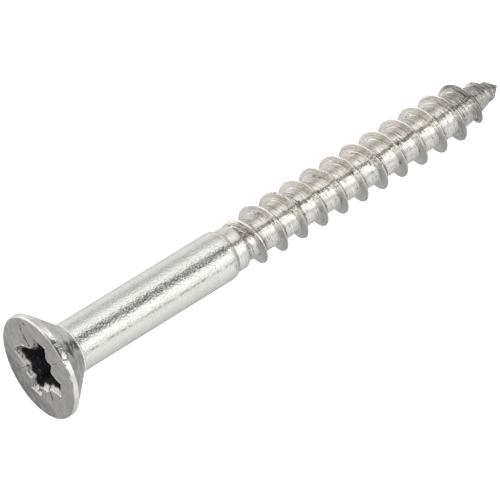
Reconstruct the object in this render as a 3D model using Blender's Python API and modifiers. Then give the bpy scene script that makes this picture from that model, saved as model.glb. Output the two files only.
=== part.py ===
"""Countersunk wood screw with a type Z cross recess, nominal size 5 x 50 mm.

The screw is one forging, and nothing in it moves.  Its four zones are separate
solids that meet face to face on flat planes square to the axis: the head, the
plain shank, the threaded shank and the gimlet point.

Frame: the axis runs along +X, the origin is the centre of the head's flat face,
the point is at x = LENGTH, and +Z is up.  The thread is right-handed.
"""

import math

import bmesh
import bpy
from mathutils import Matrix, Vector

MM = 0.001

# Overall sizes
LENGTH = 50.0 * MM
HEAD_DIAMETER = 9.2 * MM
SHANK_DIAMETER = 4.4 * MM
THREAD_DIAMETER = 4.7 * MM
CORE_DIAMETER = 3.2 * MM
PITCH = 2.2 * MM

# Head
HEAD_ROUND = 0.16 * MM          # rounding between the flat face and the rim
HEAD_LAND = 0.62 * MM           # from the face to the back of the rim
COUNTERSINK_ANGLE = 90.0        # included angle of the cone, degrees
NECK_STEP = 0.07 * MM           # the cone ends this much proud of the shank
NECK_LENGTH = 0.25 * MM         # plain shank that belongs to the head's solid

# Cross recess: four wings on a four-pointed opening, over a conical bottom
RECESS_REACH = 2.95 * MM        # axis to a wing's end, at the face
RECESS_WING = 0.42 * MM         # half width of a wing at its end
RECESS_WAIST = 1.22 * MM        # both coordinates of the corner between two wings
RECESS_DEPTH = 2.3 * MM         # from the face to the floor's edge
RECESS_CONE = 0.35 * MM         # further drop from the floor's edge to its centre
RECESS_FLOOR_SCALE = 0.42       # floor outline as a share of the outline at the face
RECESS_TURN = 5.5               # degrees about the axis, from +Y towards +Z

# Four radial grooves on the face, halfway between the wings
TICK_END = 3.7 * MM             # axis to a groove's outer end
TICK_WIDTH = 0.16 * MM
TICK_DEPTH = 0.12 * MM          # at the inner end
TICK_OVERLAP = 0.45 * MM        # how far a groove runs into the recess

# Plain shank, run-out and point
SHANK_END = 19.0 * MM           # from the face to where the shoulder starts
SHOULDER_LENGTH = 0.85 * MM     # rounded fall from the shank to the rolled blank
BLANK_DIAMETER = 3.86 * MM      # ring between the shoulder and the first groove
BLANK_LENGTH = 0.95 * MM
GROOVE_RAMP = 0.8 * MM          # length over which the blank falls to the core
CREST_RAMP = 3.2 * MM           # length over which the first crest rises
POINT_LENGTH = 5.4 * MM         # tapered length, up to the tip
POINT_BULGE = 1.7               # 1 is a straight cone, more is a fuller point
TIP_DIAMETER = 0.12 * MM

# Thread form
FLANK_ANGLE = 30.0              # between a flank and a plane square to the axis
CREST_LAND = 0.14 * MM
ROOT_FILLET = 0.2 * MM          # axial length of the hollow on the flank facing the head
CREST_AT_Y = 16.8 * MM          # where a crest would cross the +Y side, modulo the pitch

# Mesh fineness
ROUND_STEPS = 48
THREAD_STEPS = 32
ARC_STEPS = 3
CUT_MARGIN = 0.5 * MM           # how far a cutter stands clear of what it cuts
MERGE = 1e-6

HEAD_RADIUS = HEAD_DIAMETER / 2
SHANK_RADIUS = SHANK_DIAMETER / 2
THREAD_RADIUS = THREAD_DIAMETER / 2
CORE_RADIUS = CORE_DIAMETER / 2
BLANK_RADIUS = BLANK_DIAMETER / 2
TIP_RADIUS = TIP_DIAMETER / 2
CONE_LENGTH = ((HEAD_RADIUS - SHANK_RADIUS - NECK_STEP)
               / math.tan(math.radians(COUNTERSINK_ANGLE / 2)))
HEAD_END = HEAD_LAND + CONE_LENGTH + NECK_STEP + NECK_LENGTH
POINT_START = LENGTH - POINT_LENGTH


def clear_scene():
    for old in list(bpy.data.objects):
        bpy.data.objects.remove(old, do_unlink=True)


def new_collection(name):
    collection = bpy.data.collections.new(name)
    bpy.context.scene.collection.children.link(collection)
    return collection


def steel(name, colour, roughness):
    """A bare stainless steel finish."""
    material = bpy.data.materials.new(name)
    material.use_nodes = True
    shader = material.node_tree.nodes["Principled BSDF"]
    shader.inputs["Base Color"].default_value = (*colour, 1.0)
    shader.inputs["Metallic"].default_value = 1.0
    shader.inputs["Roughness"].default_value = roughness
    return material


def add_object(name, mesh, collection, material=None):
    piece = bpy.data.objects.new(name, mesh)
    collection.objects.link(piece)
    if material:
        mesh.materials.append(material)
    return piece


def hide_cutter(cutter):
    cutter.hide_render = True
    cutter.display_type = 'WIRE'
    return cutter


def outline_mesh(name, points):
    """A chain of edges through (x, radius) points, in the XY plane."""
    mesh = bpy.data.meshes.new(name)
    edges = [(i, i + 1) for i in range(len(points) - 1)]
    mesh.from_pydata([(x, radius, 0.0) for x, radius in points], edges, [])
    return mesh


def turned(name, points, collection, material=None):
    """A closed solid turned about X from points that start and end on the axis."""
    piece = add_object(name, outline_mesh(name, points), collection, material)
    screw = piece.modifiers.new("Turn", 'SCREW')
    screw.axis = 'X'
    screw.steps = ROUND_STEPS
    screw.render_steps = ROUND_STEPS
    screw.use_merge_vertices = True
    screw.merge_threshold = MERGE
    screw.use_smooth_shade = True
    return piece


def apply_modifiers(piece):
    """Replace the piece's mesh with its evaluated one and drop the modifiers."""
    depsgraph = bpy.context.evaluated_depsgraph_get()
    mesh = bpy.data.meshes.new_from_object(piece.evaluated_get(depsgraph))
    piece.modifiers.clear()
    piece.data = mesh


def face_outwards(piece):
    """Point every face of a closed mesh outwards."""
    bm = bmesh.new()
    bm.from_mesh(piece.data)
    bmesh.ops.recalc_face_normals(bm, faces=bm.faces)
    bm.to_mesh(piece.data)
    bm.free()


def boolean(piece, cutter, operation):
    modifier = piece.modifiers.new(cutter.name, 'BOOLEAN')
    modifier.operation = operation
    modifier.solver = 'EXACT'
    modifier.object = cutter


def smooth(piece, angle):
    piece.data.shade_smooth()
    piece.data.set_sharp_from_angle(angle=math.radians(angle))


def arc(centre_x, centre_r, radius, first, last, steps):
    """Points on an arc in the (x, radius) plane, angles in degrees from +X."""
    return [(centre_x + radius * math.cos(math.radians(first + (last - first) * i / steps)),
             centre_r + radius * math.sin(math.radians(first + (last - first) * i / steps)))
            for i in range(steps + 1)]


def recess_outline():
    """Corner points of the opening at the face: for each wing its two end corners,
    then the waist corner towards the next wing."""
    points = []
    for quarter in range(4):
        turn = Matrix.Rotation(math.radians(90 * quarter + RECESS_TURN), 2)
        for corner in ((RECESS_REACH, -RECESS_WING), (RECESS_REACH, RECESS_WING),
                       (RECESS_WAIST, RECESS_WAIST)):
            points.append(turn @ Vector(corner))
    return points


def recess_cutter(collection):
    """The cross recess: the outline, drafted inwards to the floor, with a conical
    bottom.  It starts ahead of the face so that the cut opens cleanly."""
    bm = bmesh.new()
    draft = (1 - RECESS_FLOOR_SCALE) / RECESS_DEPTH
    mouth = 1 + draft * CUT_MARGIN
    front = [bm.verts.new((-CUT_MARGIN, mouth * p.x, mouth * p.y)) for p in recess_outline()]
    extruded = bmesh.ops.extrude_face_region(bm, geom=[bm.faces.new(front)])["geom"]
    floor = next(item for item in extruded if isinstance(item, bmesh.types.BMFace))
    for vert in floor.verts:
        vert.co.x = RECESS_DEPTH
        vert.co.y *= RECESS_FLOOR_SCALE / mouth
        vert.co.z *= RECESS_FLOOR_SCALE / mouth
    centre = bmesh.ops.poke(bm, faces=[floor])["verts"][0]
    centre.co = Vector((RECESS_DEPTH + RECESS_CONE, 0.0, 0.0))
    bmesh.ops.recalc_face_normals(bm, faces=bm.faces)
    mesh = bpy.data.meshes.new("recess_cutter")
    bm.to_mesh(mesh)
    bm.free()
    return hide_cutter(add_object("recess_cutter", mesh, collection))


def tick_cutter(quarter, collection):
    """A box along one groove.  It is tilted, so that the groove is TICK_DEPTH deep at
    the recess and fades out at its outer end."""
    start = RECESS_WAIST * math.sqrt(2) - TICK_OVERLAP
    length = TICK_END - start
    bm = bmesh.new()
    bmesh.ops.create_cube(bm, size=1.0)
    place = (Matrix.Rotation(math.radians(90 * quarter + 45 + RECESS_TURN), 4, 'X')
             @ Matrix.Translation((TICK_DEPTH, start, 0.0))
             @ Matrix.Rotation(math.atan2(TICK_DEPTH, length), 4, 'Z')
             @ Matrix.Translation((-CUT_MARGIN / 2, length / 2, 0.0))
             @ Matrix.Diagonal((CUT_MARGIN, length, TICK_WIDTH, 1.0)))
    bmesh.ops.transform(bm, matrix=place, verts=bm.verts)
    name = f"tick_cutter_{quarter + 1}"
    mesh = bpy.data.meshes.new(name)
    bm.to_mesh(mesh)
    bm.free()
    return hide_cutter(add_object(name, mesh, collection))


def countersunk_head(collection, cutters, material):
    """Flat face, rounded edge, rim land, cone and a short neck, with the recess."""
    neck_x = HEAD_LAND + CONE_LENGTH
    points = [(0.0, 0.0)]
    points += arc(HEAD_ROUND, HEAD_RADIUS - HEAD_ROUND, HEAD_ROUND, 180, 90, ARC_STEPS)
    points += [(HEAD_LAND, HEAD_RADIUS),
               (neck_x, SHANK_RADIUS + NECK_STEP),
               (neck_x + NECK_STEP, SHANK_RADIUS),
               (HEAD_END, SHANK_RADIUS),
               (HEAD_END, 0.0)]
    head = turned("countersunk_head", points, collection, material)
    apply_modifiers(head)
    face_outwards(head)
    boolean(head, recess_cutter(cutters), 'DIFFERENCE')
    for quarter in range(4):
        boolean(head, tick_cutter(quarter, cutters), 'DIFFERENCE')
    apply_modifiers(head)
    smooth(head, 25)
    return head


def plain_shank(collection, material):
    """The unthreaded cylinder between the head's neck and the shoulder."""
    points = [(HEAD_END, 0.0), (HEAD_END, SHANK_RADIUS), (SHANK_END, SHANK_RADIUS),
              (SHANK_END, 0.0)]
    shank = turned("plain_shank", points, collection, material)
    apply_modifiers(shank)
    face_outwards(shank)
    smooth(shank, 25)
    return shank


def thread_profile(first_crest):
    """One pitch of the thread, root to root, as (x, radius) points."""
    flank = (THREAD_RADIUS - CORE_RADIUS) * math.tan(math.radians(FLANK_ANGLE))
    land = CREST_LAND / 2
    hollow = CORE_RADIUS + (THREAD_RADIUS - CORE_RADIUS) * 0.22
    start = first_crest - PITCH / 2
    return [(start, CORE_RADIUS),
            (first_crest - land - flank - ROOT_FILLET, CORE_RADIUS),
            (first_crest - land - flank * 0.86, hollow),
            (first_crest - land, THREAD_RADIUS),
            (first_crest + land, THREAD_RADIUS),
            (first_crest + land + flank, CORE_RADIUS),
            (start + PITCH, CORE_RADIUS)]


def taper(x, full_radius):
    """Radius at x of a surface that has full_radius before the point: it falls to
    TIP_RADIUS at the tip along a power curve."""
    share = min(max((x - POINT_START) / POINT_LENGTH, 0.0), 1.0)
    return TIP_RADIUS + (full_radius - TIP_RADIUS) * (1 - share ** POINT_BULGE)


def helical_body(name, collection, material):
    """A closed threaded rod from before the run-out to past the tip.  The profile
    is swept one pitch a turn, and its ends are filled with a fan of faces."""
    first_turn = math.floor((SHANK_END - CREST_AT_Y) / PITCH) - 1
    first_crest = CREST_AT_Y + first_turn * PITCH
    turns = math.ceil((LENGTH - first_crest) / PITCH) + 2
    rod = add_object(name, outline_mesh(name, thread_profile(first_crest)), collection, material)
    screw = rod.modifiers.new("Thread", 'SCREW')
    screw.axis = 'X'
    screw.screw_offset = PITCH
    screw.iterations = turns
    screw.steps = THREAD_STEPS
    screw.render_steps = THREAD_STEPS
    apply_modifiers(rod)
    bm = bmesh.new()
    bm.from_mesh(rod.data)
    bmesh.ops.remove_doubles(bm, verts=bm.verts, dist=MERGE)
    rim = [edge for edge in bm.edges if edge.is_boundary]
    caps = bmesh.ops.holes_fill(bm, edges=rim, sides=0)["faces"]
    for centre in bmesh.ops.poke(bm, faces=caps)["verts"]:
        centre.co.y = 0.0
        centre.co.z = 0.0
    for vert in bm.verts:
        radius = math.hypot(vert.co.y, vert.co.z)
        if radius < TIP_RADIUS:
            continue
        height = (radius - CORE_RADIUS) / (THREAD_RADIUS - CORE_RADIUS)
        core = taper(vert.co.x, CORE_RADIUS)
        scale = (core + height * (taper(vert.co.x, THREAD_RADIUS) - core)) / radius
        vert.co.y *= scale
        vert.co.z *= scale
    bmesh.ops.triangulate(bm, faces=bm.faces)
    bmesh.ops.recalc_face_normals(bm, faces=bm.faces)
    bm.to_mesh(rod.data)
    bm.free()
    return rod


def threaded_shank(collection, cutters, material):
    """The shoulder, the blank ring and the full thread up to the point."""
    shoulder_end = SHANK_END + SHOULDER_LENGTH
    blank_end = shoulder_end + BLANK_LENGTH
    outside = max(THREAD_RADIUS, SHANK_RADIUS) + CUT_MARGIN
    limit = hide_cutter(turned("thread_limit", [
        (shoulder_end, 0.0),
        (shoulder_end, CORE_RADIUS * 0.9),
        (shoulder_end + BLANK_LENGTH / 2, BLANK_RADIUS),
        (shoulder_end + CREST_RAMP, THREAD_RADIUS - CREST_LAND / 2),
        (shoulder_end + CREST_RAMP + PITCH, outside),
        (POINT_START, outside),
        (POINT_START, 0.0)], cutters))
    fall = SHANK_RADIUS - BLANK_RADIUS
    shoulder = [(SHANK_END + SHOULDER_LENGTH * math.sin(math.radians(90 * i / ARC_STEPS)),
                 SHANK_RADIUS - fall * (1 - math.cos(math.radians(90 * i / ARC_STEPS))))
                for i in range(ARC_STEPS + 1)]
    ring = hide_cutter(turned("run_out_ring", [
        (SHANK_END, 0.0), *shoulder,
        (blank_end, BLANK_RADIUS),
        (blank_end + GROOVE_RAMP, CORE_RADIUS * 0.97),
        (blank_end + GROOVE_RAMP, 0.0)], cutters))
    for helper in (limit, ring):
        apply_modifiers(helper)
        face_outwards(helper)
    thread = helical_body("threaded_shank", collection, material)
    boolean(thread, limit, 'INTERSECT')
    boolean(thread, ring, 'UNION')
    apply_modifiers(thread)
    smooth(thread, 25)
    return thread


def gimlet_point(collection, cutters, material):
    """The tapered end, with the same thread running on down to the tip."""
    outside = THREAD_RADIUS + CUT_MARGIN
    limit = hide_cutter(turned("point_limit", [
        (POINT_START, 0.0), (POINT_START, outside), (LENGTH, outside), (LENGTH, 0.0)], cutters))
    apply_modifiers(limit)
    face_outwards(limit)
    point = helical_body("gimlet_point", collection, material)
    boolean(point, limit, 'INTERSECT')
    apply_modifiers(point)
    smooth(point, 25)
    return point


def main():
    clear_scene()
    screw = new_collection("wood_screw")
    cutters = new_collection("cutters")
    cutters.hide_render = True
    head_steel = steel("head_steel", (0.55, 0.54, 0.51), 0.35)
    shank_steel = steel("shank_steel", (0.70, 0.69, 0.66), 0.22)
    thread_steel = steel("thread_steel", (0.66, 0.65, 0.63), 0.28)
    point_steel = steel("point_steel", (0.58, 0.57, 0.55), 0.36)
    countersunk_head(screw, cutters, head_steel)
    plain_shank(screw, shank_steel)
    threaded_shank(screw, cutters, thread_steel)
    gimlet_point(screw, cutters, point_steel)


main()
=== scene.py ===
"""Finished surfaces for the countersunk wood screw: head, plain shank, thread and point.

Lengths are in metres.  The screw's axis is +X, the flat face of its head is at x = 0,
and an angle about the axis is counted from +Y towards +Z.
"""

import math

import bmesh
import bpy
import numpy as np
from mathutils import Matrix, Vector


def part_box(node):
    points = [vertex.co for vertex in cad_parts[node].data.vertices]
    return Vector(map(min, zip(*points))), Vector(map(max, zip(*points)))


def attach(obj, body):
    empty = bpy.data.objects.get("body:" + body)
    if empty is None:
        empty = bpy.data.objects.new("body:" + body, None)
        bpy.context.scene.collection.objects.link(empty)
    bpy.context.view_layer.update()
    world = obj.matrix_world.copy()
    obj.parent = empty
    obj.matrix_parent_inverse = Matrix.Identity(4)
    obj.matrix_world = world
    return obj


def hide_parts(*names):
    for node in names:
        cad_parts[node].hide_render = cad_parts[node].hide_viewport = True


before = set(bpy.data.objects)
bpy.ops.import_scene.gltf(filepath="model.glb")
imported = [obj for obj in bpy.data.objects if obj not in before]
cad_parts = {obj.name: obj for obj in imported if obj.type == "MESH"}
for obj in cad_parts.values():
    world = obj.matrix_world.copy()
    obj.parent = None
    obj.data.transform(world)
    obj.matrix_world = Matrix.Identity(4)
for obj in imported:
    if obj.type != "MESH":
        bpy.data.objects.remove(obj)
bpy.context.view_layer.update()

MM = 0.001

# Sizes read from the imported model
head_low, head_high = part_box("countersunk_head")
shank_low, shank_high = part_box("plain_shank")
thread_low, thread_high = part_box("threaded_shank")
point_low, point_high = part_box("gimlet_point")

HEAD_RADIUS = head_high.y
HEAD_END = head_high.x
SHANK_RADIUS = shank_high.y
SHANK_END = shank_high.x
THREAD_RADIUS = thread_high.y
POINT_START = point_low.x
LENGTH = point_high.x

# Head
HEAD_TILT = math.radians(2.26)  # a cold-headed blank leaves its head a little out of square
EDGE_ROUND = 0.17 * MM          # between the flat face and the rim
RIM_LAND = 0.62 * MM            # back edge of the rim
RIM_BACK_ROUND = 0.07 * MM
NECK_STEP = 0.12 * MM           # the cone ends this much proud of the shank
NECK_LAND = 0.12 * MM
NECK_AT = 2.98 * MM             # where the cone ends
CONE_INSET = 0.45               # share of the rim's back round that the cone starts inside it

# Cross recess.  Its opening is a cross of four wings over a square core, whose corners
# show between the wings; the punch leaves each wing and corner a little different.
RECESS_OUTLINE = (
    (3.00, -0.32), (2.88, 0.15), (2.02, 1.05),                      # wing near +Y
    (1.55, 1.18), (0.98, 1.42), (0.66, 1.85),                       # corner
    (0.46, 2.92), (-1.03, 2.93), (-1.08, 1.85),                     # wing near +Z
    (-1.36, 1.67), (-1.78, 1.66), (-1.66, 0.85),                    # corner
    (-1.98, 0.67), (-2.95, 0.45), (-2.97, -0.93),                   # wing near -Y
    (-1.75, -1.08), (-1.45, -1.35), (-1.25, -1.66),                 # corner
    (-0.66, -1.72), (-0.38, -2.80), (0.86, -2.84), (0.88, -1.78),   # wing near -Z
    (1.50, -1.62), (1.60, -0.88), (1.90, -0.78))                    # corner
RECESS_DEPTH = 2.3 * MM
RECESS_CONE = 0.35 * MM
RECESS_DRAFT = 0.19             # share of its size that the section loses per mm of depth
MOUTH_DEPTH = 0.34 * MM         # the mouth is flared over this depth
MOUTH_FLARE = 0.16 * MM
WALL_TOP = 0.03 * MM            # the wall's rows end this far below the mouth
RAGGED = 0.02 * MM              # how far the mouth's outline strays
BURR_HEIGHT = 0.035 * MM
BURR_WIDTH = 0.17 * MM
BURR_PROFILE = ((0.08, 0.5), (0.2, 0.95), (0.35, 1.0), (0.6, 0.5), (1.0, 0.0))  # across, up
BURR_MEAN, BURR_SWING = 0.55, 1.1   # shares of its height, before it is held to these two
BURR_LEAST, BURR_MOST = 0.05, 1.6

# Tick grooves on the face and over the recess's mouth, in mm: start and end as (y, z),
# half width and depth.  The first groove has two stretches.
TICKS = (
    ((0.75, 1.29), (1.86, 2.25), 0.17, 0.18), ((1.86, 2.25), (2.25, 3.05), 0.09, 0.09),
    ((-1.72, 1.62), (-2.62, 2.50), 0.07, 0.05),
    ((-0.95, -0.75), (-1.80, -2.08), 0.17, 0.18),
    ((1.50, -1.00), (2.28, -1.86), 0.07, 0.05))
TICK_RISE = 0.6                 # share of its depth that a groove loses by its end
TICK_SHADE, DENT_SHADE = 5.5, 6.0   # painted shade, as a multiple of the depth
TICK_SHADE_FADE = 0.3
# Pits and dents on the face, in mm: place, radius and depth
DENTS = (((1.74, 3.54), 0.13, 0.07), ((0.95, -3.60), 0.20, 0.015), ((-0.9, 3.7), 0.25, 0.008),
         ((2.6, -2.4), 0.25, 0.010), ((-2.7, -2.6), 0.3, 0.008), ((3.4, 1.3), 0.25, 0.008))

# Run-out
SHOULDER_LENGTH = 0.85 * MM
BLANK_RADIUS = 1.93 * MM
BLANK_END = 20.8 * MM
WAIST_DEPTH = 0.07 * MM         # a slight waist between the shoulder and the rolled blank
WAIST_WIDTH = 0.22 * MM
GROOVE_RAMP = 0.45 * MM         # length over which the blank falls to the root
UNDERCUT = 0.1 * MM             # the first of the root is rolled this much deeper
UNDERCUT_AT = 0.6 * MM          # after the blank's end
UNDERCUT_WIDTH = 0.4 * MM
CREST_STARTS = -0.4 * MM        # from the blank's end to where the crest starts to rise
CREST_FULL = 2.2 * MM           # and to where it has its full height

# Thread
CORE_RADIUS = 1.66 * MM
PITCH = 2.2 * MM
CREST_AT_Y = 16.87 * MM         # where a crest would cross the +Y side, modulo the pitch
CREST_HALF_LAND = 0.06 * MM
NEAR_FLANK = 0.15 * MM          # axial length of the steep flank, which faces the head
FAR_FLANK = 0.42 * MM           # and of the flank that faces the point
NEAR_FILLET, FAR_FILLET = 0.30, 0.35   # roundings, as shares of the thread's depth
CREST_ROUND = 0.16
CREST_WEAR = 0.030 * MM         # how far the crest strays from true
ROOT_UNEVEN = 0.012 * MM        # how far the root does
# Runs of grid lines across one pitch, in mm from the crest: start, end and how many
THREAD_LINES = ((-1.1, -0.34, 8), (-0.34, -0.04, 13), (-0.04, 0.06, 4), (0.06, 0.58, 9),
                (0.58, 1.1, 5))

# Point
POINT_BULGE = 1.7               # 1 is a straight cone, more is a fuller point
CORE_BULGE = 1.6
CORE_FALL = 0.48                # share of its radius that the root loses on the point
CORE_ENDS = 1.4 * MM            # before the tip
TIP_RADIUS = 0.06 * MM
TIP_SLOPE = 0.82
TIP_BLEND = 0.1 * MM
WEAR_FADE = 1.5 * MM            # the crest's wear fades this far inside both ends of the point

# Rows and columns of the grids
HEAD_COLUMNS = 480
COLUMNS = 144                   # round the shank and the thread
FLOOR_ROWS, WALL_ROWS, FACE_ROWS, EDGE_ROWS, RIM_ROWS, CONE_ROWS = 5, 34, 56, 8, 5, 20
SHANK_ROWS = 60
WALL_CROWDING = 1.4             # rows crowd towards the mouth, 1 is evenly spaced
FACE_CROWDING = 1.15
WELD = 2e-7


# ---------------------------------------------------------------- surfaces

def smooth_step(low, high, value):
    """0 below low, 1 above high, and the cubic 3t^2 - 2t^3 between."""
    t = np.clip((value - low) / (high - low), 0.0, 1.0)
    return t * t * (3.0 - 2.0 * t)


def smooth_min(a, b, blend):
    """The smaller of a and b, with the corner between them rounded over `blend`."""
    gap = np.maximum(blend - np.abs(a - b), 0.0)
    return np.minimum(a, b) - gap * gap / (4.0 * blend)


def smooth_max(a, b, blend):
    return -smooth_min(-a, -b, blend)


def ring_points(x, radius, angle):
    """Points at distance `radius` from the axis: (x, r cos a, r sin a)."""
    x, radius, angle = np.broadcast_arrays(x, radius, angle)
    return np.stack([x, radius * np.cos(angle), radius * np.sin(angle)], axis=-1)


def grid_piece(name, grid, sharp_angle=40.0, grime=None):
    """A closed piece from a grid of points, rows by columns.  The first and last rows
    lie on the axis, and the last column lies on the first, moved on by whole rows
    where the grid follows a helix; welding closes both.  With rows running along +X
    and columns turning from +Y to +Z, the faces point away from the axis.  `grime`,
    how much shade is painted at each point, is kept on the vertices as an attribute."""
    rows, columns, _ = grid.shape
    index = np.arange(rows * columns).reshape(rows, columns)
    quads = np.stack([index[:-1, :-1], index[:-1, 1:], index[1:, 1:], index[1:, :-1]],
                     axis=-1).reshape(-1, 4)
    mesh = bpy.data.meshes.new(name)
    mesh.from_pydata(grid.reshape(-1, 3), [], quads)
    if grime is not None:
        layer = mesh.attributes.new("grime", "FLOAT", "POINT")
        layer.data.foreach_set("value", grime.ravel().astype(np.float32))
    bm = bmesh.new()
    bm.from_mesh(mesh)
    bmesh.ops.remove_doubles(bm, verts=bm.verts, dist=WELD)
    bmesh.ops.recalc_face_normals(bm, faces=bm.faces)
    bm.to_mesh(mesh)
    bm.free()
    mesh.shade_smooth()
    mesh.set_sharp_from_angle(angle=math.radians(sharp_angle))
    piece = bpy.data.objects.new(name, mesh)
    bpy.context.scene.collection.objects.link(piece)
    return piece


def polygon_section(points, angle):
    """Distance from the axis to a polygon's outline at each angle.  Where the ray at an
    angle crosses the side from p to q, it is cross(p, q) over cross(ray, q - p)."""
    corner = np.arctan2(points[:, 1], points[:, 0]) % math.tau
    order = np.argsort(corner)
    points, corner = points[order], corner[order]
    side = np.searchsorted(corner, angle % math.tau, side="right") - 1
    p, q = points[side], np.roll(points, -1, axis=0)[side]
    ray = np.stack([np.cos(angle), np.sin(angle)], axis=-1)
    step = q - p
    area = p[:, 0] * q[:, 1] - p[:, 1] * q[:, 0]
    return area / (ray[:, 0] * step[:, 1] - ray[:, 1] * step[:, 0])


def recess_section(depth, angle):
    """The recess at a depth: its outline drawn in towards the axis by the draft, and
    each side moved in square to itself by the flare that is left of the mouth."""
    points = np.array(RECESS_OUTLINE) * MM
    before, after = points - np.roll(points, 1, axis=0), np.roll(points, -1, axis=0) - points
    normals = [np.stack([side[:, 1], -side[:, 0]], axis=-1)
               / np.linalg.norm(side, axis=-1, keepdims=True) for side in (before, after)]
    mitre = (normals[0] + normals[1]) / (1 + (normals[0] * normals[1]).sum(-1, keepdims=True))
    flare = MOUTH_FLARE * min(depth / MOUTH_DEPTH, 1.0)
    drawn_in = points * (1 - RECESS_DRAFT * depth / MM) - mitre * flare
    return polygon_section(drawn_in, angle)


def wave_sum(angle, seed, waves):
    """A smooth closed random curve: a sum of sines of the given wave numbers."""
    random = np.random.default_rng(seed)
    total = sum(np.sin(n * angle + random.uniform(0, math.tau)) * random.uniform(0.5, 1.0)
                for n in waves)
    return total / len(waves)


def segment_distance(y, z, start, end):
    """Distance in the face's plane from (y, z) to a segment, and how far along it, 0 to 1."""
    start, end = np.array(start) * MM, np.array(end) * MM
    step = end - start
    along = ((y - start[0]) * step[0] + (z - start[1]) * step[1]) / (step @ step)
    along = np.clip(along, 0.0, 1.0)
    return np.hypot(y - start[0] - along * step[0], z - start[1] - along * step[1]), along


def face_relief(y, z):
    """How deep the face lies at (y, z), and the shade painted there, which grows with the
    depth: V-shaped tick grooves that run out towards their far ends, and shallow round dents."""
    depth, shade_amount = np.zeros_like(y), np.zeros_like(y)
    for start, end, half_width, groove in TICKS:
        distance, along = segment_distance(y, z, start, end)
        valley = np.clip(1 - distance / (half_width * MM), 0.0, 1.0)
        depth = np.maximum(depth, groove * MM * valley * (1 - TICK_RISE * along))
        grime = TICK_SHADE * groove * MM * valley * (1 - TICK_SHADE_FADE * along)
        shade_amount = np.maximum(shade_amount, grime)
    for place, radius, dent in DENTS:
        distance = np.hypot(y - place[0] * MM, z - place[1] * MM)
        depth += dent * MM * np.exp(-(distance / (radius * MM)) ** 2)
    return depth, np.maximum(shade_amount, DENT_SHADE * depth)


def screw_head():
    """The head as one skin.  Its rows run from the recess's floor up the drafted walls,
    over the burred mouth, across the face, round the edge, over the rim, down the
    cone and across the hidden end to the axis."""
    angle = np.linspace(0.0, math.tau, HEAD_COLUMNS + 1)
    rows, grime = [], []

    # Each row carries the shade painted on it, as a depth in mm
    def row(x, radius, depth=0.0):
        rows.append(ring_points(x, radius, angle))
        grime.append(np.broadcast_to(depth / MM, angle.shape))

    row(RECESS_DEPTH + RECESS_CONE, 0.0, RECESS_DEPTH)
    floor = recess_section(RECESS_DEPTH, angle)
    for share in np.linspace(0.2, 1.0, FLOOR_ROWS):
        row(RECESS_DEPTH + RECESS_CONE * (1 - share), floor * share, RECESS_DEPTH)
    ragged = RAGGED * wave_sum(angle, 3, (17, 23, 31, 44, 59, 83))
    for share in np.linspace(1.0, 0.0, WALL_ROWS)[1:] ** WALL_CROWDING:
        depth = RECESS_DEPTH * share + WALL_TOP * (1 - share)
        wall = recess_section(depth, angle) + ragged * (1 - share)
        shade_amount = face_relief(wall * np.cos(angle), wall * np.sin(angle))[1]
        row(depth, wall, np.maximum(depth, shade_amount))
    mouth = recess_section(0.0, angle) + ragged
    uneven = BURR_MEAN + BURR_SWING * wave_sum(angle, 5, (5, 9, 14, 22, 37))
    burr = BURR_HEIGHT * np.clip(uneven, BURR_LEAST, BURR_MOST)
    for share, height in BURR_PROFILE:
        row(-burr * height, mouth + BURR_WIDTH * share)
    flat = HEAD_RADIUS - EDGE_ROUND
    start = mouth + BURR_WIDTH
    for share in np.linspace(0.0, 1.0, FACE_ROWS)[1:] ** FACE_CROWDING:
        radius = start + (flat - start) * share
        relief, shade_amount = face_relief(radius * np.cos(angle), radius * np.sin(angle))
        row(relief, radius, shade_amount)
    for bend in np.radians(np.linspace(0, 90, EDGE_ROWS))[1:]:
        row(EDGE_ROUND * (1 - math.cos(bend)), flat + EDGE_ROUND * math.sin(bend))
    for x in np.linspace(EDGE_ROUND, RIM_LAND - RIM_BACK_ROUND, RIM_ROWS)[1:]:
        row(x, HEAD_RADIUS)
    for bend in np.radians([15, 30, 45]):
        row(RIM_LAND - RIM_BACK_ROUND + RIM_BACK_ROUND * math.sin(bend),
            HEAD_RADIUS - RIM_BACK_ROUND * (1 - math.cos(bend)))
    neck_radius = SHANK_RADIUS + NECK_STEP
    cone_radius = HEAD_RADIUS - RIM_BACK_ROUND * CONE_INSET
    for share in np.linspace(0.0, 1.0, CONE_ROWS)[1:]:
        row(RIM_LAND + (NECK_AT - RIM_LAND) * share,
            cone_radius + (neck_radius - cone_radius) * share)
    row(NECK_AT + NECK_LAND, neck_radius)
    for bend in np.radians([30, 60, 90]):
        row(NECK_AT + NECK_LAND + NECK_STEP * 0.5 * math.sin(bend),
            neck_radius - NECK_STEP * (1 - math.cos(bend)))
    row(HEAD_END, SHANK_RADIUS)
    row(HEAD_END, 0.0)
    grid = np.stack(rows)
    upright = np.clip(1 - (grid[..., 0] - RIM_LAND) / (HEAD_END - RIM_LAND), 0, 1)
    grid[..., 0] += math.tan(HEAD_TILT) * upright * grid[..., 1]
    return grid_piece("head_surface", grid, grime=np.stack(grime))


def shank_surface():
    """The plain cylinder from the head's neck to the shoulder."""
    angle = np.linspace(0.0, math.tau, COLUMNS + 1)[None, :]
    x = np.linspace(HEAD_END, SHANK_END, SHANK_ROWS)
    x = np.concatenate([x[:1], x, x[-1:]])[:, None]
    radius = np.full_like(x, SHANK_RADIUS)
    radius[0] = radius[-1] = 0.0
    return grid_piece("shank_surface", ring_points(x, radius, angle))


def taper(x, full_radius):
    """Radius on the point: full_radius falls along a power of the share of the point's
    length that is behind x, and never lies outside the short cone at the very end."""
    share = np.clip((x - POINT_START) / (LENGTH - POINT_START), 0.0, 1.0)
    end_cone = TIP_RADIUS + TIP_SLOPE * (LENGTH - x)
    return smooth_min(full_radius * (1 - share ** POINT_BULGE) + TIP_RADIUS, end_cone, TIP_BLEND)


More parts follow.
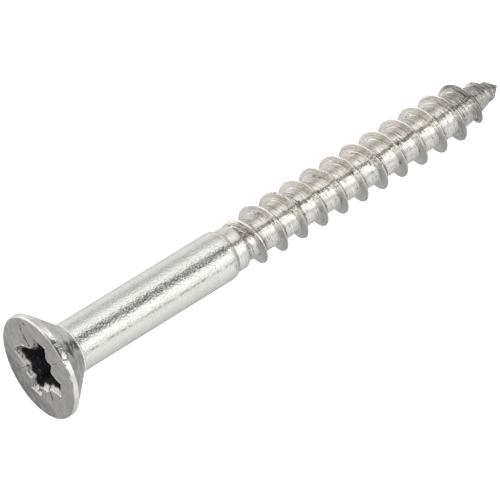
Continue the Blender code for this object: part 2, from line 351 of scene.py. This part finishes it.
def core_taper(x):
    """The root on the point: it falls less than the crest, to about half its radius, and
    never lies outside the same short cone."""
    share = np.clip((x - POINT_START) / (LENGTH - CORE_ENDS - POINT_START), 0.0, 1.0)
    end_cone = TIP_RADIUS + TIP_SLOPE * (LENGTH - x)
    return smooth_min(CORE_RADIUS * (1 - CORE_FALL * share ** CORE_BULGE), end_cone, TIP_BLEND)


def thread_height(offset):
    """Share of the thread's depth at an axial offset from the crest.  A steep flank
    faces the head and a longer one the point; each meets the root in a fillet."""
    toward_head = 1 - (-offset - CREST_HALF_LAND) / NEAR_FLANK
    toward_point = 1 - (offset - CREST_HALF_LAND) / FAR_FLANK
    slope = np.where(offset < 0, toward_head, toward_point)
    fillet = np.where(offset < 0, NEAR_FILLET, FAR_FILLET)
    return smooth_max(smooth_min(slope, 1.0, CREST_ROUND), 0.0, fillet)


def thread_radius(x, offset):
    """Distance from the axis at x, for a thread offset from the crest.  The root and
    the crest both start from the rolled blank and end on the tapered point."""
    fallen = np.clip((x - SHANK_END) / SHOULDER_LENGTH, 0.0, 1.0)
    shoulder = (SHANK_RADIUS - BLANK_RADIUS) * np.sqrt(np.clip(1 - fallen ** 2, 0.0, 1.0))
    waist_at = SHANK_END + SHOULDER_LENGTH
    waist = WAIST_DEPTH * np.exp(-((x - waist_at) / WAIST_WIDTH) ** 2)
    blank = BLANK_RADIUS + shoulder - waist
    opened = smooth_step(BLANK_END, BLANK_END + GROOVE_RAMP, x)
    undercut = UNDERCUT * np.exp(-((x - BLANK_END - UNDERCUT_AT) / UNDERCUT_WIDTH) ** 2)
    risen = smooth_step(BLANK_END + CREST_STARTS, BLANK_END + CREST_FULL, x)
    root = blank + (core_taper(x) - undercut - blank) * opened
    crest = np.maximum(blank + (taper(x, THREAD_RADIUS) - blank) * risen, root)
    along = math.tau * (x - offset) / PITCH
    worn = CREST_WEAR * wave_sum(along, 11, (0.31, 0.83, 1.7, 3.3, 5.9, 9.7))
    worn = worn * (1 - smooth_step(POINT_START + WEAR_FADE, LENGTH - WEAR_FADE, x))
    hammered = ROOT_UNEVEN * wave_sum(along, 12, (2.3, 4.1, 7.7, 13.0))
    height = thread_height(offset)
    return root + (crest - root) * height + (worn * height + hammered * (1 - height)) * opened


def helical_grid(start, end):
    """Grid rows along lines of constant offset from the crest, so that the crest is
    one clean edge.  Line k crosses column angle a at k's place in its pitch plus
    PITCH a / turn, held between start and end."""
    in_pitch = MM * np.concatenate([np.linspace(low, high, count, endpoint=False)
                                    for low, high, count in THREAD_LINES])
    first = math.floor((start - CREST_AT_Y) / PITCH) - 1
    last = math.ceil((end - CREST_AT_Y) / PITCH) + 1
    crest = CREST_AT_Y + np.arange(first, last + 1) * PITCH
    lines = (crest[:, None] + in_pitch).reshape(-1, 1)
    offset = np.tile(in_pitch, len(crest)).reshape(-1, 1)
    angle = np.linspace(0.0, math.tau, COLUMNS + 1)[None, :]
    x = np.clip(lines + PITCH * angle / math.tau, start, end)
    true_offset = np.where((x > start) & (x < end), offset,
                           (x - CREST_AT_Y - PITCH * angle / math.tau + PITCH / 2) % PITCH
                           - PITCH / 2)
    points = ring_points(x, thread_radius(x, true_offset), angle)
    cap = [np.broadcast_to(np.array([place, 0.0, 0.0]), points[:1].shape)
           for place in (start, end)]
    return np.concatenate([cap[0], points, cap[1]])


# ---------------------------------------------------------------- shader maths

class Signal:
    """A value in a node tree.  Arithmetic on it adds Math nodes."""

    def __init__(self, tree, socket):
        self.tree = tree
        self.socket = socket

    def node(self, kind, settings=None, output=0, **inputs):
        """Any node: its settings first, then the values or links of its sockets, which
        are given by name with _ for a space, or as _ and a number."""
        made = self.tree.nodes.new(kind)
        for key, value in (settings or {}).items():
            if key == "ramp":
                elements = made.color_ramp.elements
                while len(elements) < len(value):
                    elements.new(1.0)
                for element, (place, colour) in zip(elements, value):
                    element.position = place
                    element.color = (*colour, 1.0)
            else:
                setattr(made, key, value)
        for key, value in inputs.items():
            place = int(key[1:]) if key[0] == "_" and key[1:].isdigit() else key.replace("_", " ")
            if isinstance(value, Signal):
                self.tree.links.new(value.socket, made.inputs[place])
            else:
                made.inputs[place].default_value = value
        return Signal(self.tree, made.outputs[output])

    def math(self, operation, other=0.0):
        return self.node("ShaderNodeMath", {"operation": operation}, _0=self, _1=other)

    def __add__(self, other):
        return self.math("ADD", other)

    __radd__ = __add__

    def __mul__(self, other):
        return self.math("MULTIPLY", other)

    __rmul__ = __mul__

    def __sub__(self, other):
        return self.math("SUBTRACT", other)

    def __rsub__(self, other):
        return self.node("ShaderNodeMath", {"operation": "SUBTRACT"}, _0=other, _1=self)

    def __truediv__(self, other):
        return self.math("DIVIDE", other)

    def ramp(self, low, high):
        """0 at low, 1 at high, smooth between."""
        return self.node("ShaderNodeMapRange", {"interpolation_type": "SMOOTHSTEP"},
                         Value=self, From_Min=low, From_Max=high)

    def mix(self, first, second):
        """The colour `first` where this is 0 and `second` where it is 1."""
        return self.node("ShaderNodeMix", {"data_type": "RGBA"}, output=2,
                         _0=self, _6=first, _7=second)


def rgb(red, green, blue):
    return (red, green, blue, 1.0)


# ---------------------------------------------------------------- materials

# Where marks, painted shade and painted reflections lie round the axis, in degrees from +Y
# towards +Z
SHANK_DARK_REFLECTION_AT = 122.8           # middle of a flecked band of painted dark reflection along the shank
SHANK_REFLECTION_LINE_AT = 154.5        # a thin line of painted dark reflection beside it
TINTED_SIDE_AT = 80.0           # middle of the thread's tinted side
POINT_PAINTED_SHADE_AT = 78.0            # middle of the point's darkest side, where shade is painted
ROOT_PAINTED_SHADE_AT = 58.0             # middle of the roots darkened by painted shade
THREAD_DARK_REFLECTION_AT = 122.0                 # line down the thread where a dark reflection is painted
# Middles of the dark reflections painted on the cone, the rim and the face's edge
CONE_DARK_REFLECTION_AT = 128.0
RIM_DARK_REFLECTION_AT = 124.0
EDGE_DARK_REFLECTION_AT = 134.0

# Where finishes lie along the axis and from it
POINT_DARKENS = (POINT_START - 1.6 * MM, POINT_START + 0.4 * MM)
RUN_OUT_STARTS = (20.2 * MM, 20.8 * MM)
RUN_OUT_ENDS = (23.4 * MM, 21.6 * MM)
ROOT_BELOW = (1.92 * MM, 1.72 * MM)
LOW_SIDE = (1.2 * MM, 3.5 * MM)
# Zones of the head in mm behind its leaning face: none before the first place, full from
# the second to the third, and none after the last
EDGE_ZONE = (0.02, 0.05, 0.13, 0.20)
RIM_ZONE = (0.10, 0.16, 0.56, 0.64)
CONE_ZONE = (0.60, 0.66, 2.93, 2.98)
LIP_ZONE = (2.96, 3.00, 3.10, 3.16)
FACE_ENDS = (-0.13 * MM, -0.04 * MM)

# Heights of the fine relief
SHANK_PEBBLE = 0.042 * MM
ROLLING_LINES = 0.030 * MM
THREAD_PEBBLE = 0.016 * MM
FACE_SMEAR = 0.050 * MM
FACE_GRAIN = 0.040 * MM

# Colours of the steel, of what clings to it, and of painted shade, reflections and highlights
WIRE, WIRE_CLOUDED = rgb(0.79, 0.79, 0.755), rgb(0.74, 0.74, 0.70)
FLECK_AND_DARK_REFLECTION, REFLECTION_LINE_DARK = rgb(0.20, 0.20, 0.19), rgb(0.28, 0.28, 0.27)
ROLLED_BRIGHT, ROLLED_DULL = rgb(0.86, 0.85, 0.83), rgb(0.66, 0.655, 0.635)
POINT_DARK_AND_PAINTED_SHADE = rgb(0.12, 0.115, 0.105)
ROSY, STRAW, UNTINTED = rgb(1.0, 0.962, 0.945), rgb(0.99, 0.975, 0.925), rgb(1.0, 1.0, 0.99)
ROOT_PAINTED_SHADE, MILL_SCALE_AND_DARK_REFLECTION = rgb(0.34, 0.325, 0.31), rgb(0.13, 0.125, 0.12)
RIM_LIGHT, RIM_DARK = rgb(0.80, 0.795, 0.765), rgb(0.70, 0.695, 0.67)
FACE_DARK, FACE_LIGHT = rgb(0.55, 0.545, 0.525), rgb(0.70, 0.69, 0.665)
FACE_SMEARED = rgb(0.31, 0.31, 0.315)
# Painted shade on the recess's walls and in the face's grooves and pits, mottled
WALL_SHADE_DARK, WALL_SHADE_LIGHT = rgb(0.10, 0.10, 0.10), rgb(0.44, 0.43, 0.41)
CONE_DARK, CONE_LIGHT = rgb(0.62, 0.62, 0.61), rgb(0.84, 0.84, 0.82)
CONE_PAINTED_REFLECTION, LIP_PAINTED_HIGHLIGHT = rgb(0.13, 0.13, 0.13), rgb(0.95, 0.95, 0.92)
# Dark colour of the reflections painted on the rim and the face's edge
DARK_REFLECTION_PAINT = rgb(0.10, 0.095, 0.09)
# Painted black of the recess, and its painted glints
RECESS_PAINTED_BLACK, RECESS_PAINTED_GLINT = rgb(0.016, 0.016, 0.019), rgb(0.13, 0.13, 0.13)


def new_material(name):
    """A material, its shader, and a Signal of object coordinates to start from."""
    material = bpy.data.materials.new(name)
    material.use_nodes = True
    tree = material.node_tree
    shader = tree.nodes["Principled BSDF"]
    place = Signal(tree, tree.nodes.new("ShaderNodeTexCoord").outputs["Object"])
    return material, shader, place


def split(vector):
    """The three coordinates of a vector as Signals."""
    parts = vector.node("ShaderNodeSeparateXYZ", Vector=vector).socket.node
    return [Signal(vector.tree, socket) for socket in parts.outputs]


def noise(place, per_mm, detail=2.0, roughness=0.5):
    """Noise with about `per_mm` features in a millimetre."""
    return place.node("ShaderNodeTexNoise", Vector=place, Scale=per_mm / MM, Detail=detail,
                      Roughness=roughness)


def stretched_noise(x, y, z, detail, roughness):
    """Noise that is longer one way than another: it has about one feature in each unit
    of the three values, which are already scaled."""
    place = x.node("ShaderNodeCombineXYZ", X=x, Y=y, Z=z)
    return x.node("ShaderNodeTexNoise", Vector=place, Scale=1.0, Detail=detail,
                  Roughness=roughness)


def facing(y, z, angle):
    """Cosine of the angle about the axis between a point and a chosen direction."""
    outward = y * math.cos(math.radians(angle)) + z * math.sin(math.radians(angle))
    return outward / (y * y + z * z).math("SQRT")


def zone(place, limits):
    """1 inside four limits in mm, with soft ends: up over the first two, down over the rest."""
    rise_from, rise_to, fall_from, fall_to = (limit * MM for limit in limits)
    return place.ramp(rise_from, rise_to) * (1.0 - place.ramp(fall_from, fall_to))


def relief(height, distance, **below):
    """The bump of `height` times `distance`, over a relief that is given as Normal."""
    return height.node("ShaderNodeBump", Height=height, Distance=distance, Strength=1.0, **below)


def connect(shader, **signals):
    for name, signal in signals.items():
        signal.tree.links.new(signal.socket, shader.inputs[name.replace("_", " ")])


def drawn_steel(name):
    """The plain shank: bright drawn wire with the fine pebbled skin of a cold blank, a
    dark reflection painted as a flecked band along one side and as a thin line beside it."""
    material, shader, place = new_material(name)
    _, y, z = split(place)
    cloud = noise(place, 0.8, 4.0)
    colour = cloud.ramp(0.3, 0.75).mix(WIRE, WIRE_CLOUDED)
    # Painted dark reflection: dark flecks crowded into a band along one side, over sparse flecks
    # all round
    dark_reflection_band = facing(y, z, SHANK_DARK_REFLECTION_AT).ramp(0.982, 0.9975)
    fleck = noise(place, 7.0, 2.0).ramp(0.48, 0.60)
    colour = (fleck * (dark_reflection_band * 0.62 + 0.08)).mix(colour, FLECK_AND_DARK_REFLECTION)
    # Painted dark reflection: a thin broken dark line along the shank
    on_reflection_line = facing(y, z, SHANK_REFLECTION_LINE_AT).ramp(0.9982, 0.9998)
    reflection_line = on_reflection_line * noise(place, 2.5, 3.0).ramp(0.40, 0.55)
    colour = (reflection_line * 0.6).mix(colour, REFLECTION_LINE_DARK)
    pebble = noise(place, 6.0, 2.0, 0.6)
    connect(shader, Base_Color=colour, Normal=relief(pebble, SHANK_PEBBLE))
    shader.inputs["Metallic"].default_value = 1.0
    shader.inputs["Roughness"].default_value = 0.12
    return material


def rolled_steel(name):
    """Thread-rolled steel: fine lines that follow the helix, drawn by noise that is
    long along the thread and narrow across it, over a pebbled skin.  Dark scale is left
    in its hollows and more in the run-out; a dark reflection is painted as more of it
    along a line down one side, and painted shade darkens the upper roots and one side of
    the point.  The lines are coarser along that line, in the run-out and on the point."""
    material, shader, place = new_material(name)
    x, y, z = split(place)
    from_axis = (y * y + z * z).math("SQRT")
    helix = x * (math.tau / PITCH) - z.math("ARCTAN2", y)
    streak = stretched_noise(helix.math("COSINE") * 4.4, helix.math("SINE") * 4.4,
                             x * (2.6 / MM), 3.0, 0.7)
    # The point is darker all round, and darker still on one side, where shade is painted
    on_point = facing(y, z, POINT_PAINTED_SHADE_AT).ramp(0.50, 0.80) * 0.6 + 0.4
    on_point = x.ramp(*POINT_DARKENS) * on_point
    dull = on_point.mix(ROLLED_DULL, POINT_DARK_AND_PAINTED_SHADE)
    steel = streak.ramp(0.3, 0.72).mix(dull, ROLLED_BRIGHT)
    tint = noise(place, 0.45, 2.0).ramp(0.42, 0.62).mix(ROSY, STRAW)
    tint = facing(y, z, TINTED_SIDE_AT).ramp(0.30, 0.80).mix(UNTINTED, tint)
    colour = steel.node("ShaderNodeMix", {"data_type": "RGBA", "blend_type": "MULTIPLY"},
                        output=2, _0=1.0, _6=steel, _7=tint)
    in_root = from_axis.ramp(*ROOT_BELOW)
    # Painted shade: the roots darkened on one side, broken up by the streaks
    root_painted_shade = in_root * facing(y, z, ROOT_PAINTED_SHADE_AT).ramp(0.60, 0.95) * streak.ramp(0.80, 0.35)
    colour = (root_painted_shade * 0.75).mix(colour, ROOT_PAINTED_SHADE)
    run_out = x.ramp(*RUN_OUT_ENDS) * x.ramp(*RUN_OUT_STARTS)
    # Painted dark reflection: more dark scale along a line down one side of the thread, where the
    # relief is also coarser
    dark_reflection_line = facing(y, z, THREAD_DARK_REFLECTION_AT).ramp(0.975, 0.999)
    patch = streak * 0.6 + noise(place, 3.0, 3.0) * 0.4 + (1.0 - in_root) * 0.05
    scale_and_dark_reflection = (patch - dark_reflection_line * 0.04 - run_out * 0.025).ramp(0.44, 0.39) * 0.85
    colour = scale_and_dark_reflection.mix(colour, MILL_SCALE_AND_DARK_REFLECTION)
    coarse = on_point + run_out + dark_reflection_line * 1.6
    lines = relief(streak * (coarse * 1.3 + 1.0), ROLLING_LINES)
    pebble = noise(place, 4.0, 2.0, 0.6)
    skin = relief(pebble * (coarse + 1.0), THREAD_PEBBLE, Normal=lines)
    connect(shader, Base_Color=colour, Normal=skin, Roughness=scale_and_dark_reflection * 0.4 + 0.17)
    shader.inputs["Metallic"].default_value = 1.0
    return material


def head_steel(name):
    """The head: a satin pressed face, a bright rolled rim, a duller cone, and a recess
    that is bright at its mouth and darkened below it by painted shade, black deep down
    with a few painted glints; the face's grooves and pits take the same painted shade.
    Dark reflections are painted on one side of the cone, the rim and the edge, and a
    highlight round the lip."""
    material, shader, place = new_material(name)
    x, y, z = split(place)
    grime = place.node("ShaderNodeAttribute", {"attribute_name": "grime"}, output=2)
    cloud = noise(place, 1.1, 5.0, 0.6)
    scratch = noise(place, 3.2, 4.0)
    smear = stretched_noise((y + z) * (0.7 / MM), (z - y * 0.7) * (1.5 / MM), x * (0.7 / MM),
                            5.0, 0.65)
    behind_face = x - y * math.tan(HEAD_TILT)
    face = (behind_face * -1.0).ramp(*FACE_ENDS)
    edge, rim, cone, lip = (zone(behind_face, limits)
                            for limits in (EDGE_ZONE, RIM_ZONE, CONE_ZONE, LIP_ZONE))
    # Painted shade: below a depth the recess turns black and dull, with noise at its edge
    recess_painted_shade = (grime + (cloud - 0.5) * 0.5 + (smear - 0.5) * 0.4).ramp(0.28, 0.46)
    # Painted shade: past a few hundredths of a mm of painted depth, in the recess and the face's
    # grooves and pits
    mouth = grime.ramp(0.015, 0.09)

    rolled = cloud.ramp(0.35, 0.7).mix(RIM_LIGHT, RIM_DARK)
    # Painted highlight: a near-white band round the lip at the end of the cone
    rolled = lip.mix(rolled, LIP_PAINTED_HIGHLIGHT)
    # Painted dark reflection: a dark stripe down one side of the cone, broken by noise
    cone_dark_reflection = facing(y, z, CONE_DARK_REFLECTION_AT).ramp(0.972, 0.997) * cloud.ramp(0.62, 0.44)
    conical = cone_dark_reflection.mix(cloud.ramp(0.40, 0.60).mix(CONE_DARK, CONE_LIGHT), CONE_PAINTED_REFLECTION)
    low_side = (y * 0.45 - z * 0.89).ramp(*LOW_SIDE)
    pressed = smear.ramp(0.36, 0.64).mix(FACE_DARK, FACE_LIGHT)
    pressed = (low_side * smear.ramp(0.85, 0.32)).mix(pressed, FACE_SMEARED)
    # Mottled painted shade for the recess's walls, grooves and pits
    flared = scratch.ramp(0.36, 0.53).mix(WALL_SHADE_DARK, WALL_SHADE_LIGHT)
    colour = mouth.mix(face.mix(cone.mix(rolled, conical), pressed), flared)

    # Painted dark reflections: dark specks on one side of the rim and dark smears on the same
    # side of the face's rounded edge
    rim_dark_reflection = noise(place, 2.6, 3.0).ramp(0.50, 0.58) * rim
    rim_dark_reflection = rim_dark_reflection * facing(y, z, RIM_DARK_REFLECTION_AT).ramp(0.955, 0.99)
    edge_dark_reflection = edge * smear.ramp(0.30, 0.50) * facing(y, z, EDGE_DARK_REFLECTION_AT).ramp(0.78, 0.94)
    colour = (rim_dark_reflection * 0.9 + edge_dark_reflection * 0.85).mix(colour, DARK_REFLECTION_PAINT)
    # Painted highlights: grey glints scattered in the painted black, fewer deep down
    painted_glint = scratch.ramp(0.57, 0.66) * (1.0 - grime.ramp(0.9, 1.9))
    colour = recess_painted_shade.mix(colour, (painted_glint * 0.6).mix(RECESS_PAINTED_BLACK, RECESS_PAINTED_GLINT))

    grain = noise(place, 4.5, 2.0, 0.6)
    skin = relief(grain, FACE_GRAIN, Normal=relief(smear, FACE_SMEAR))
    rough = face * 0.2 + mouth * 0.15 + cone * 0.1 + lip * 0.3 + 0.12
    rough = rough.math("MAXIMUM", recess_painted_shade * 0.6)
    connect(shader, Base_Color=colour, Normal=skin, Roughness=rough, Metallic=1.0 - recess_painted_shade * 0.8)
    # Lowered so that the painted black in the recess stays black
    shader.inputs["Specular IOR Level"].default_value = 0.12
    return material


# ---------------------------------------------------------------- the pieces

def place_piece(piece, material, node):
    piece.data.materials.append(material)
    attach(piece, "root")
    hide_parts(node)


place_piece(screw_head(), head_steel("head_steel"), "countersunk_head")
place_piece(shank_surface(), drawn_steel("shank_steel"), "plain_shank")
place_piece(grid_piece("thread_surface", helical_grid(SHANK_END, POINT_START)),
            rolled_steel("thread_steel"), "threaded_shank")
place_piece(grid_piece("point_surface", helical_grid(POINT_START, LENGTH)),
            rolled_steel("point_steel"), "gimlet_point")


# ---------------------------------------------------------------- studio

FLOOR_HALF_WIDTH = 1.5
BACKDROP_RADIUS = 1.6
BESIDE_STARTS = (-0.3, 0.2)     # x of the direction in which the surround is seen, from
BEYOND_POINT_STARTS = (0.55, 0.8)   # -1 beyond the head to 1 beyond the point

# Tone of the studio by angle about the screw's axis, in degrees from +Y towards +Z:
# beside the screw, beyond its head, and beyond its point
STUDIO_SIDE = (
    (0, 0.94), (18, 0.95), (30, 0.82), (43, 0.46), (54, 0.66), (66, 0.98), (76, 1.26),
    (90, 1.40), (97, 1.14), (103, 0.50), (108, 0.26), (114, 0.16), (120, 0.22), (126, 0.52),
    (133, 1.22), (143, 1.50), (160, 1.45), (170, 1.20), (180, 0.62), (188, 1.08),
    (203, 1.06), (227, 0.88), (250, 0.75), (270, 0.60), (308, 0.50), (350, 0.88))
STUDIO_BEYOND_HEAD = (
    (0, 1.75), (10, 1.78), (29, 1.68), (48, 1.33), (67, 1.17), (86, 1.20), (100, 0.85),
    (112, 0.40), (126, 0.24), (136, 0.70), (145, 2.00), (155, 2.90), (168, 2.10),
    (178, 1.30), (190, 1.00), (205, 0.80), (217, 0.65), (236, 0.52), (255, 0.43),
    (280, 0.41), (305, 0.42), (318, 0.55), (330, 0.85), (345, 1.40))
STUDIO_BEYOND_POINT = (
    (0, 0.90), (60, 0.60), (90, 0.40), (105, 0.25), (126, 0.24), (138, 0.50), (170, 0.56),
    (270, 0.38), (320, 0.50))


def studio_light():
    """A soft surround in bands along the screw, as long softboxes and dark gaps give."""
    world = bpy.data.worlds.new("studio")
    bpy.context.scene.world = world
    world.use_nodes = True
    tree = world.node_tree
    direction = Signal(tree, tree.nodes.new("ShaderNodeTexCoord").outputs["Generated"])
    x, y, z = split(direction)
    turn = (z.math("ARCTAN2", y) / math.tau).math("FRACT")
    side, beyond_head, beyond_point = (
        turn.node("ShaderNodeValToRGB",
                  {"ramp": [(angle / 360, (tone, tone, tone)) for angle, tone in bands]
                   + [(1.0, (bands[0][1],) * 3)]}, Fac=turn)
        for bands in (STUDIO_SIDE, STUDIO_BEYOND_HEAD, STUDIO_BEYOND_POINT))
    tone = x.ramp(*BESIDE_STARTS).mix(beyond_head, side)
    tone = x.ramp(*BEYOND_POINT_STARTS).mix(tone, beyond_point)
    background = tree.nodes["Background"]
    tree.links.new(tone.socket, background.inputs["Color"])
    background.inputs["Strength"].default_value = 1.0


def glowing_white(name, grey, glow):
    """A matt grey or black surface that gives off white light of its own."""
    material = bpy.data.materials.new(name)
    material.use_nodes = True
    shader = material.node_tree.nodes["Principled BSDF"]
    shader.inputs["Base Color"].default_value = rgb(grey, grey, grey)
    shader.inputs["Roughness"].default_value = 0.9
    shader.inputs["Specular IOR Level"].default_value = 0.0
    shader.inputs["Emission Color"].default_value = rgb(1.0, 1.0, 1.0)
    shader.inputs["Emission Strength"].default_value = glow
    return material


def stage_piece(name, mesh, material):
    """A piece of the studio, which the steel doesn't mirror."""
    piece = bpy.data.objects.new(name, mesh)
    bpy.context.scene.collection.objects.link(piece)
    mesh.materials.append(material)
    piece.visible_glossy = False
    return piece


def studio_floor():
    """A pale floor that touches the head's rim and the thread's crests.  It slopes by
    the few degrees that the head lifts its end of the screw."""
    slope = (HEAD_RADIUS - THREAD_RADIUS) / (POINT_START - RIM_LAND)
    half = FLOOR_HALF_WIDTH
    corners = [(x, y, -HEAD_RADIUS + (x - RIM_LAND) * slope)
               for x, y in ((-half, -half), (half, -half), (half, half), (-half, half))]
    mesh = bpy.data.meshes.new("floor")
    mesh.from_pydata(corners, [], [(0, 1, 2, 3)])
    stage_piece("floor", mesh, glowing_white("pale_floor", 0.85, 0.75))


def studio_backdrop():
    """A white sphere far round the screw, seen only directly."""
    bm = bmesh.new()
    bmesh.ops.create_uvsphere(bm, u_segments=48, v_segments=24, radius=BACKDROP_RADIUS)
    mesh = bpy.data.meshes.new("backdrop")
    bm.to_mesh(mesh)
    bm.free()
    mesh.shade_smooth()
    backdrop = stage_piece("backdrop", mesh, glowing_white("white_backdrop", 0.0, 1.0))
    backdrop.visible_diffuse = False
    backdrop.visible_transmission = False
    backdrop.visible_shadow = False


# Camera, aimed at the middle of the screw's axis
CAMERA_AZIMUTH = math.radians(-41.70)
CAMERA_ELEVATION = math.radians(43.84)
CAMERA_DISTANCE = 0.5445
CAMERA_LENS = 482.5             # focal length and sensor in mm
CAMERA_SENSOR = 36.0
CAMERA_SIDE = -1.80 * MM        # the aim point's offset to the camera's right
CAMERA_RISE = -2.12 * MM        # and upwards


def studio_camera():
    back = Vector((math.sin(CAMERA_AZIMUTH) * math.cos(CAMERA_ELEVATION),
                   -math.cos(CAMERA_AZIMUTH) * math.cos(CAMERA_ELEVATION),
                   math.sin(CAMERA_ELEVATION)))
    right = Vector((math.cos(CAMERA_AZIMUTH), math.sin(CAMERA_AZIMUTH), 0.0))
    up = back.cross(right)
    lens = bpy.data.cameras.new("camera")
    lens.lens = CAMERA_LENS
    lens.sensor_width = CAMERA_SENSOR
    lens.clip_start = 0.05
    lens.clip_end = 5.0
    camera = bpy.data.objects.new("camera", lens)
    bpy.context.scene.collection.objects.link(camera)
    aim = Vector((LENGTH / 2, 0.0, 0.0)) + right * CAMERA_SIDE + up * CAMERA_RISE
    camera.location = aim + back * CAMERA_DISTANCE
    camera.rotation_mode = "QUATERNION"
    camera.rotation_quaternion = (-back).to_track_quat("-Z", "Y")
    bpy.context.scene.camera = camera


studio_light()
studio_floor()
studio_backdrop()
studio_camera()
bpy.context.scene.view_settings.view_transform = "Standard"
